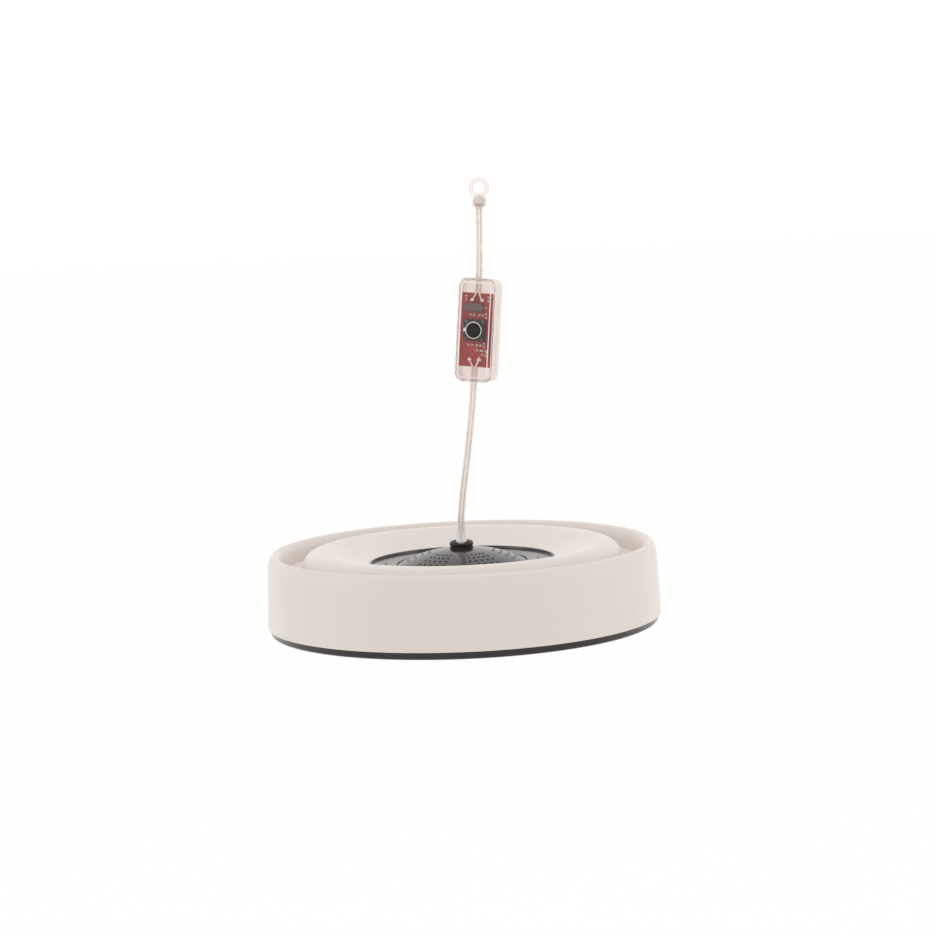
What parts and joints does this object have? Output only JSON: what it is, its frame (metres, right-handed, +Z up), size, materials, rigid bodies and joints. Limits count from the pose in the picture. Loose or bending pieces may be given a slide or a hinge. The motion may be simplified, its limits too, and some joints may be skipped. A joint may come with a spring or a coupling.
{
  "type": "electric bug zapper",
  "caption": "Hanging electric insect zapper: milk-white light ring round a dark vented centre, on a clear cord with an in-line push switch.",
  "frame": {"origin": "centre of the hanging eye at the top of the cord", "axes": "+Z up along the lamp's own axis, which is 17.9 mm to -X of the eye; -Y towards the viewer of the switch; the eye's hole runs along Y"},
  "size_m": [0.2196, 0.2196, 0.2486],
  "materials": {
    "milk_plastic": "milk-white translucent, satin",
    "dark_plastic": "dark grey, fine satin",
    "black_rubber": "black, satin",
    "white_nylon": "natural white",
    "steel": "bright zinc",
    "white_board": "white solder mask",
    "led_chip": "white body with phosphor",
    "steel_wire": "drawn wire",
    "ceramic": "glazed ceramic",
    "green_board": "green solder mask",
    "ferrite": "dark ferrite with taped winding",
    "capacitor_blue": "blue dipped",
    "resistor_tan": "tan lacquer",
    "lead_wire": "red sheath",
    "clear_plastic": "clear moulded, polished",
    "red_board": "red solder mask",
    "black_plastic": "black, satin",
    "steel_can": "satin metal can",
    "chip_black": "epoxy with tinned ends",
    "copper": "tinned copper strands",
    "solder": "bright solder",
    "clear_cord": "clear sheath over tinned strands",
    "nickel": "nickel plated"
  },
  "bodies": {
    "lamp": {"base_pan": "dark_plastic", "base_screws": "steel", "base_seal": "black_rubber", "board_screws": "steel", "case_back": "clear_plastic", "case_front": "clear_plastic", "centre_plate": "dark_plastic", "chamber_roof": "dark_plastic", "chip_parts": "chip_black", "conductor_tails": "copper", "cord_clamp": "white_nylon", "cord_gland": "black_rubber", "crystal_can": "steel_can", "diffuser_inner": "milk_plastic", "diffuser_outer": "milk_plastic", "earth_grid": "steel_wire", "grid_leads": "lead_wire", "grid_posts": "ceramic", "hanging_eye": "clear_plastic", "hv_board": "green_board", "hv_capacitors": "capacitor_blue", "hv_resistors": "resistor_tan", "hv_transformer": "ferrite", "inlet_socket": "nickel", "led_board": "white_board", "led_chips": "led_chip", "led_leads": "lead_wire", "led_screws": "steel", "live_grid": "steel_wire", "lower_cord": "clear_cord", "solder_joints": "solder", "supply_leads": "lead_wire", "switch_board": "red_board", "switch_body": "black_plastic", "switch_cover": "steel", "upper_cord": "clear_cord", "vent_dome": "dark_plastic"},
    "tray": {"catch_tray": "dark_plastic"},
    "button": {"switch_button": "black_plastic"}
  },
  "joints": [
    {"name": "tray_pull", "type": "slide", "parent": "lamp", "child": "tray", "axis": [0, 0, -1], "range_m": [0, 0.03]},
    {"name": "button_press", "type": "slide", "parent": "lamp", "child": "button", "axis": [0.3406, 0.9397, -0.0316], "range_m": [0, 0.0003], "stiffness_N_per_m": 2500, "springref_m": -0.0002}
  ]
}
